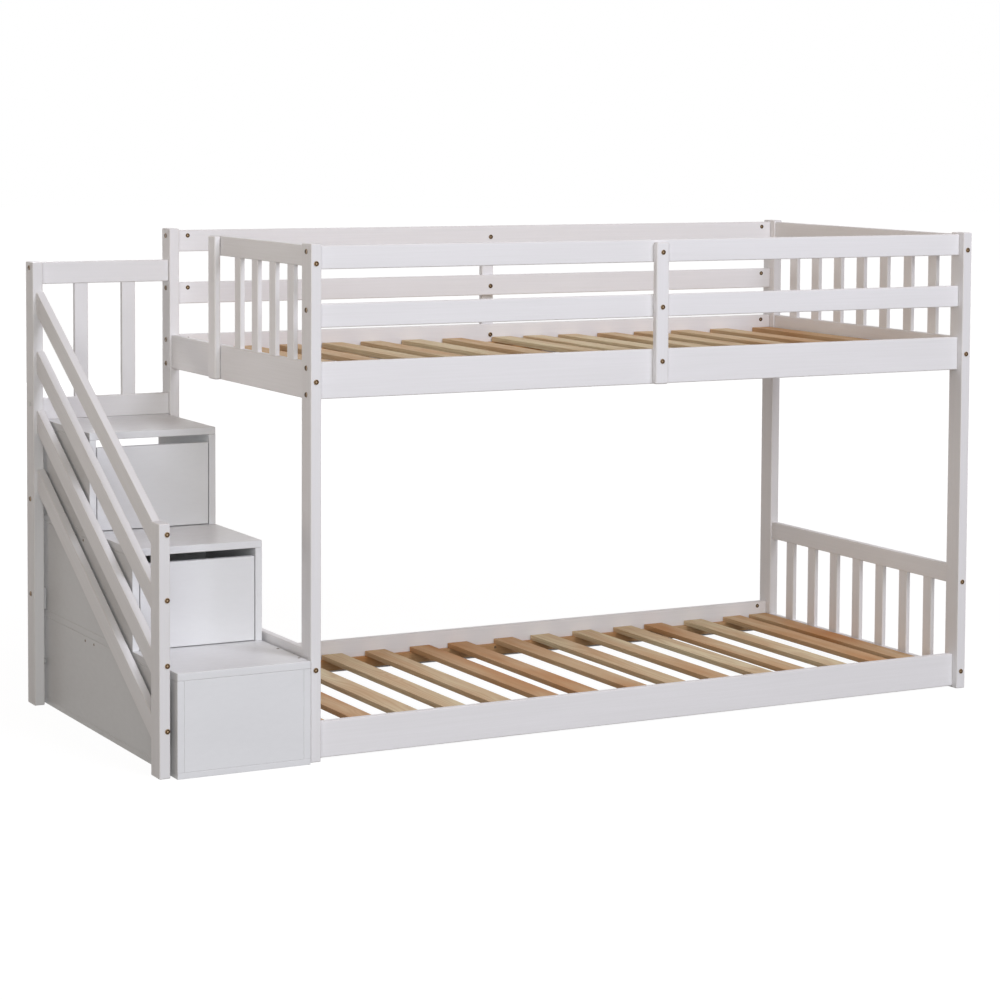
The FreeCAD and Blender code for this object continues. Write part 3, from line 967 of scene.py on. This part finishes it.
@dataclass
class Fasteners(Assembly):
    """The connector bolts and the barrel nuts of the knock-down joints."""

    bolt_head: Head = Head(radius=6.5 * MM, rim=0.8 * MM, socket=2.5 * MM, depth=1.4 * MM, shank=3 * MM)
    plug_head: Head = Head(radius=7 * MM, rim=0.8 * MM)
    nut_head: Head = Head(radius=6 * MM, rim=0.4 * MM, socket=2.5 * MM, depth=0.3 * MM)
    nut_rise: float = 0.6 * MM
    # Nuts on the stairs' side of this are in the rails behind the stairs, and face the back.
    stair_edge: float = -0.8

    def build(self) -> None:
        """Make the bolts and the nuts."""
        self.bolts("rail_bolts")
        self.bolts("batten_bolts")
        self.nuts()

    def bolts(self, node: str) -> None:
        """Replace the bolts of a node by bolts with round heads and hexagon sockets.

        Args:
            node: The CAD node.
        """
        piece = Workpiece(f"{node}_turned", seed=1)
        for corners in self.facts.solids(node):
            low, high = span(corners)
            size, middle = high - low, (low + high) / 2
            axis = max(Axis, key=lambda item: size[item.value])
            wide = max(corners, key=lambda point: (point - middle).cross(axis.vector).length)
            out = axis.vector if wide[axis.value] > middle[axis.value] else -axis.vector
            steps = sorted({round((point - middle).dot(out), HUNDREDTH_MM) for point in corners})
            seat = middle + out * steps[-2]
            lie = facing(seat, out)
            rise = steps[-1] - steps[-2]
            if self.plugged(seat):
                self.plug(lie, rise)
            else:
                piece.head(lie, self.bolt_head, rise)
            piece.shank(lie, self.bolt_head.shank, steps[-2] - steps[0])
        self.place(piece, node)

    def plugged(self, seat: Vector) -> bool:
        """Whether a seat is that of the lower stair guard rail's outer bolt, which a white plug covers."""
        low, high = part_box("stair_guard_bottom_rail")
        return seat.x < low.x and low.y < seat.y < high.y and low.z < seat.z < high.z

    def plug(self, lie: Matrix, rise: float) -> None:
        """Press a white plug over a bolt.

        Args:
            lie: The seat of the bolt's head.
            rise: How far the plug stands out.
        """
        piece = Workpiece("guard_bolt_plug", seed=6)
        piece.head(lie, self.plug_head, rise)
        piece.finish(self.finishes, Slot.NYLON, "frame", [])

    def nuts(self) -> None:
        """Replace the barrel nuts by round ones that end just proud of the rail's inner face."""
        piece = Workpiece("barrel_nuts_turned", seed=2)
        for corners in self.facts.solids("barrel_nuts"):
            low, high = span(corners)
            size, middle = high - low, (low + high) / 2
            axis = max(Axis, key=lambda item: size[item.value])
            onward = axis is Axis.X or middle.x < self.stair_edge or middle.y < 0
            out = axis.vector if onward else -axis.vector
            length = size[axis.value]
            lie = facing(middle + out * (length / 2), out)
            piece.head(lie, self.nut_head, self.nut_rise)
            piece.shank(lie, sorted(size)[1] / 2, length)
        self.place(piece, "barrel_nuts")


class LampKind(Enum):
    """The lamps of the studio: a broad softbox, or a spot with a soft edge."""

    SOFTBOX = "AREA"
    SPOT = "SPOT"


@dataclass(frozen=True)
class Lamp:
    """A soft light of the studio, and where it hangs and points."""

    name: str
    power: float
    colour: str
    # Degrees round from the front, and up.
    turn: float
    rise: float
    distance: float
    size: float
    kind: LampKind = LampKind.SOFTBOX
    # The middle of the bed, unless the lamp points elsewhere.
    aim: tuple[float, float, float] = (0.0, 0.0, 0.6)
    cone: float = 0.0

    def hang(self) -> None:
        """Hang the lamp."""
        turn, rise = math.radians(self.turn), math.radians(self.rise)
        out = Vector((math.sin(turn) * math.cos(rise), -math.cos(turn) * math.cos(rise), math.sin(rise)))
        data = bpy.data.lights.new(self.name, self.kind.value)
        if self.kind is LampKind.SPOT:
            data.spot_size, data.spot_blend = math.radians(self.cone), 1.0
            data.shadow_soft_size = self.size / 2
        else:
            data.shape, data.size = "SQUARE", self.size
        data.energy = self.power
        data.color = linear(self.colour)[:3]
        light = bpy.data.objects.new(self.name, data)
        light.location = Vector(self.aim) + out * self.distance
        light.rotation_euler = out.to_track_quat("Z", "Y").to_euler()
        bpy.context.scene.collection.objects.link(light)


# Light the bed from the camera's side and from above.
FRONT_LAMPS = (
    Lamp("side_softbox", power=485.0, colour="#F6FCFE", turn=-28.0, rise=11.0, distance=12.0, size=5.0),
    Lamp("high_softbox", power=472.0, colour="#EDF1FE", turn=12.0, rise=41.0, distance=9.0, size=3.8),
)
# Lights the faces that look along the bed, and hardly reaches the foot of the stairs.
END_LAMP = Lamp("end_spot", power=285.0, colour="#FFF6EA", turn=-90.0, rise=5.0, distance=6.2, size=2.0,
                kind=LampKind.SPOT, aim=(0.0, -0.25, 1.12), cone=26.0)
# Fill the far end and the back, which the photograph doesn't show.
BACK_LAMPS = (
    Lamp("far_end_softbox", power=225.0, colour="#F6F8FF", turn=105.0, rise=5.0, distance=9.0, size=3.8),
    Lamp("rear_softbox", power=250.0, colour="#F6F8FF", turn=180.0, rise=4.0, distance=9.0, size=3.8),
)


@dataclass
class Studio:
    """A pale floor, a soft white surround, five soft lights and the photograph's viewpoint."""

    floor_colour: str = "#7E7C7A"
    floor_reach: float = 40.0
    floor_sides: int = 48
    # The camera sees a floor that glows white, and whose glow leaves room for a faint shadow near the bed.
    floor_glow: float = 0.95
    floor_shade: str = "#5C5C5C"
    shade_reach: tuple[float, float] = (2.0, 5.0)
    sky_strength: float = 0.265
    sky_colour: str = "#FFEADA"
    lamps: tuple[Lamp, ...] = (*FRONT_LAMPS, END_LAMP, *BACK_LAMPS)
    eye: Vector = Vector((-3.4999, -6.6401, 1.5766))
    turn: float = math.radians(28.872)
    dip: float = math.radians(3.7485)
    roll: float = math.radians(-0.4033)
    lens: float = 100.0056
    sensor: float = 36.0
    shift: tuple[float, float] = (-0.05931, -0.20103)
    far_clip: float = 200.0

    def build(self) -> None:
        """Set the stage."""
        self.floor()
        self.sky()
        for lamp in self.lamps:
            lamp.hang()
        self.camera()
        bpy.context.scene.view_settings.view_transform = "Standard"

    def seen(self, tree: bpy.types.NodeTree) -> bpy.types.Node:
        """Tell the rays that should meet plain white: from the camera, off metal and through glass.

        Args:
            tree: The node tree.

        Returns:
            A node that gives one for such a ray and zero for others.
        """
        add = partial(add_node, tree)
        path = add("LightPath", {})
        either = add("Math", {
            0: path.outputs["Is Camera Ray"], 1: path.outputs["Is Glossy Ray"]}, operation="MAXIMUM")
        return add("Math", {0: either, 1: path.outputs["Is Transmission Ray"]}, operation="MAXIMUM")

    def floor(self) -> None:
        """Lay a wide pale floor that keeps a faint shadow."""
        made = blank_material("pale_studio_floor")
        add = partial(add_node, made.node_tree)
        matt = add("BsdfDiffuse", {"Color": linear(self.floor_colour)})
        shade = add("BsdfDiffuse", {"Color": linear(self.floor_shade)})
        place = add("TexCoord", {}).outputs["Object"]
        away = add("VectorMath", {0: place}, operation="LENGTH")
        near, far = self.shade_reach
        white_out = add("MapRange", {
            "Value": away.outputs["Value"], "From Min": near, "From Max": far,
            "To Min": self.floor_glow, "To Max": 1.0}, interpolation_type="SMOOTHSTEP")
        glow = add("Emission", {"Color": linear("#FFFFFF"), "Strength": white_out})
        white = add("AddShader", {0: shade, 1: glow})
        mixed = add("MixShader", {0: self.seen(made.node_tree), 1: matt, 2: white})
        add("OutputMaterial", {"Surface": mixed})
        shape = bmesh.new()
        bmesh.ops.create_circle(shape, cap_ends=True, segments=self.floor_sides, radius=self.floor_reach)
        mesh = bpy.data.meshes.new("studio_floor")
        shape.to_mesh(mesh)
        shape.free()
        mesh.materials.append(made)
        floor = bpy.data.objects.new("studio_floor", mesh)
        bpy.context.scene.collection.objects.link(floor)

    def sky(self) -> None:
        """Surround the bed with even light that the camera sees as white."""
        world = bpy.data.worlds.new("white_surround")
        bpy.context.scene.world = world
        world.use_nodes = True
        world.node_tree.nodes.clear()
        add = partial(add_node, world.node_tree)
        light = add("Background", {"Color": linear(self.sky_colour), "Strength": self.sky_strength})
        white = add("Background", {"Color": linear("#FFFFFF"), "Strength": 1.0})
        mixed = add("MixShader", {0: self.seen(world.node_tree), 1: light, 2: white})
        add("OutputWorld", {"Surface": mixed})

    def camera(self) -> None:
        """Stand the camera where the photograph was taken from."""
        ahead = Vector((math.sin(self.turn) * math.cos(self.dip), math.cos(self.turn) * math.cos(self.dip),
                        -math.sin(self.dip)))
        level = Vector((math.cos(self.turn), -math.sin(self.turn), 0.0))
        down = ahead.cross(level)
        right = level * math.cos(self.roll) + down * math.sin(self.roll)
        below = down * math.cos(self.roll) - level * math.sin(self.roll)
        data = bpy.data.cameras.new("viewpoint")
        data.sensor_width = self.sensor
        data.lens = self.lens
        data.shift_x, data.shift_y = self.shift
        data.clip_end = self.far_clip
        camera = bpy.data.objects.new("viewpoint", data)
        turned = Matrix((right, -below, -ahead)).transposed().to_4x4()
        camera.matrix_world = Matrix.Translation(self.eye) @ turned
        bpy.context.scene.collection.objects.link(camera)
        bpy.context.scene.camera = camera


# The tones of the slats in order from the stairs.
UPPER_TONES = (0.4, 0.4, 0.4, 0.08, 0.32, 0.1, 0.38, 0.26, 0.12, 0.12, 0.28, 0.16, 0.3, 0.42, 0.5)
LOWER_TONES = (0.5, 0.75, 0.2, 0.2, 0.3, 0.75, 0.75, 0.5, 0.25, 0.35, 0.15, 0.6, 0.3, 0.55, 0.7)


def main() -> None:
    """Dress every part of the bed in turn, then set the stage."""
    logging.basicConfig(level=logging.INFO, format="%(message)s")
    facts, finishes = Frame(), Finishes()
    parts = [
        BedFrame(facts, finishes),
        BedEnds(facts, finishes),
        SlattedBase(facts, finishes, bunk="upper", tones=UPPER_TONES),
        SlattedBase(facts, finishes, bunk="lower", tones=LOWER_TONES),
        StairFrame(facts, finishes),
        StepBoxes(facts, finishes),
        Drawer(facts, finishes, name="middle_drawer"),
        Drawer(facts, finishes, name="upper_drawer"),
        Runners(facts, finishes),
        Fasteners(facts, finishes),
    ]
    for part in parts:
        LOG.info("%s", type(part).__name__)
        part.build()
    Studio().build()


if __name__ == "__main__":
    main()
